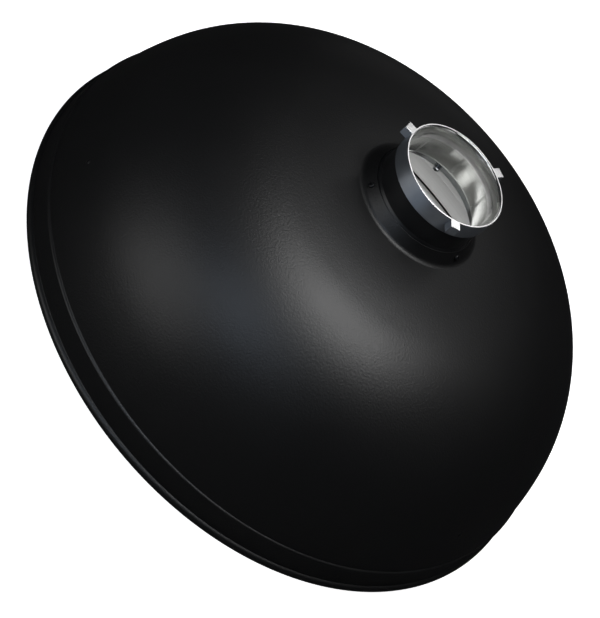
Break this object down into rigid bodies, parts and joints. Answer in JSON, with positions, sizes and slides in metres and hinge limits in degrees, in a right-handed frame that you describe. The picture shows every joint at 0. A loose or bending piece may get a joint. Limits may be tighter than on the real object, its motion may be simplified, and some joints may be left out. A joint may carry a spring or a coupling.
{
  "type": "studio beauty dish",
  "caption": "Round spun-metal studio flash reflector with a stepped rolled rim, a bayonet mount neck and a sliding deflector plate inside.",
  "frame": {"origin": "centre of the rim's flat land, on the dish's axis", "axes": "+Z along the dish's axis, from the mouth to the mount; one bayonet lug points 66 degrees from +X towards +Y"},
  "size_m": [0.53, 0.53, 0.23],
  "materials": {
    "dish_coat": "black fine-texture powder coat",
    "neck_black": "black outside, bright satin inside",
    "ring_anodised": "grey anodised, polished mouth",
    "bright_aluminium": "turned, satin",
    "deflector_white": "white enamel, satin",
    "zinc_steel": "zinc plated",
    "black_steel": "black oxide",
    "spring_steel": "tempered, bright"
  },
  "bodies": {
    "reflector": {"dish_shell": "dish_coat", "mount_neck": "neck_black", "bayonet_ring": "ring_anodised", "seat_screw_1": "black_steel", "seat_screw_2": "black_steel", "seat_screw_3": "black_steel", "seat_washer_1": "zinc_steel", "seat_washer_2": "zinc_steel", "seat_washer_3": "zinc_steel", "seat_nut_1": "zinc_steel", "seat_nut_2": "zinc_steel", "seat_nut_3": "zinc_steel", "weld_stud_1": "zinc_steel", "weld_stud_2": "zinc_steel", "weld_stud_3": "zinc_steel", "deflector_post_1": "bright_aluminium", "deflector_post_2": "bright_aluminium", "deflector_post_3": "bright_aluminium", "post_end_nut_1": "bright_aluminium", "post_end_nut_2": "bright_aluminium", "post_end_nut_3": "bright_aluminium", "clip_rivet_1": "black_steel", "clip_rivet_2": "black_steel", "clip_rivet_3": "black_steel"},
    "deflector": {"deflector_plate": "deflector_white", "deflector_collar_1": "bright_aluminium", "deflector_collar_2": "bright_aluminium", "deflector_collar_3": "bright_aluminium", "thumb_screw_1": "black_steel", "thumb_screw_2": "black_steel", "thumb_screw_3": "black_steel"},
    "clip_1": {"grid_clip_1": "spring_steel"},
    "clip_2": {"grid_clip_2": "spring_steel"},
    "clip_3": {"grid_clip_3": "spring_steel"}
  },
  "joints": [
    {"name": "deflector_slide", "type": "slide", "parent": "reflector", "child": "deflector", "axis": [0, 0, -1], "range_m": [-0.035, 0.04]},
    {"name": "grid_clip_1_flex", "type": "hinge", "parent": "reflector", "child": "clip_1", "pos_m": [-0.03418, 0.24319, 0.06875], "axis": [0.9903, 0.1392, 0], "range_deg": [0, 3], "stiffness_Nm_per_rad": 0.4},
    {"name": "grid_clip_2_flex", "type": "hinge", "parent": "reflector", "child": "clip_2", "pos_m": [-0.19352, -0.15119, 0.06875], "axis": [-0.6157, 0.788, 0], "range_deg": [0, 3], "stiffness_Nm_per_rad": 0.4},
    {"name": "grid_clip_3_flex", "type": "hinge", "parent": "reflector", "child": "clip_3", "pos_m": [0.22769, -0.09199, 0.06875], "axis": [-0.3746, -0.9272, 0], "range_deg": [0, 3], "stiffness_Nm_per_rad": 0.4}
  ]
}
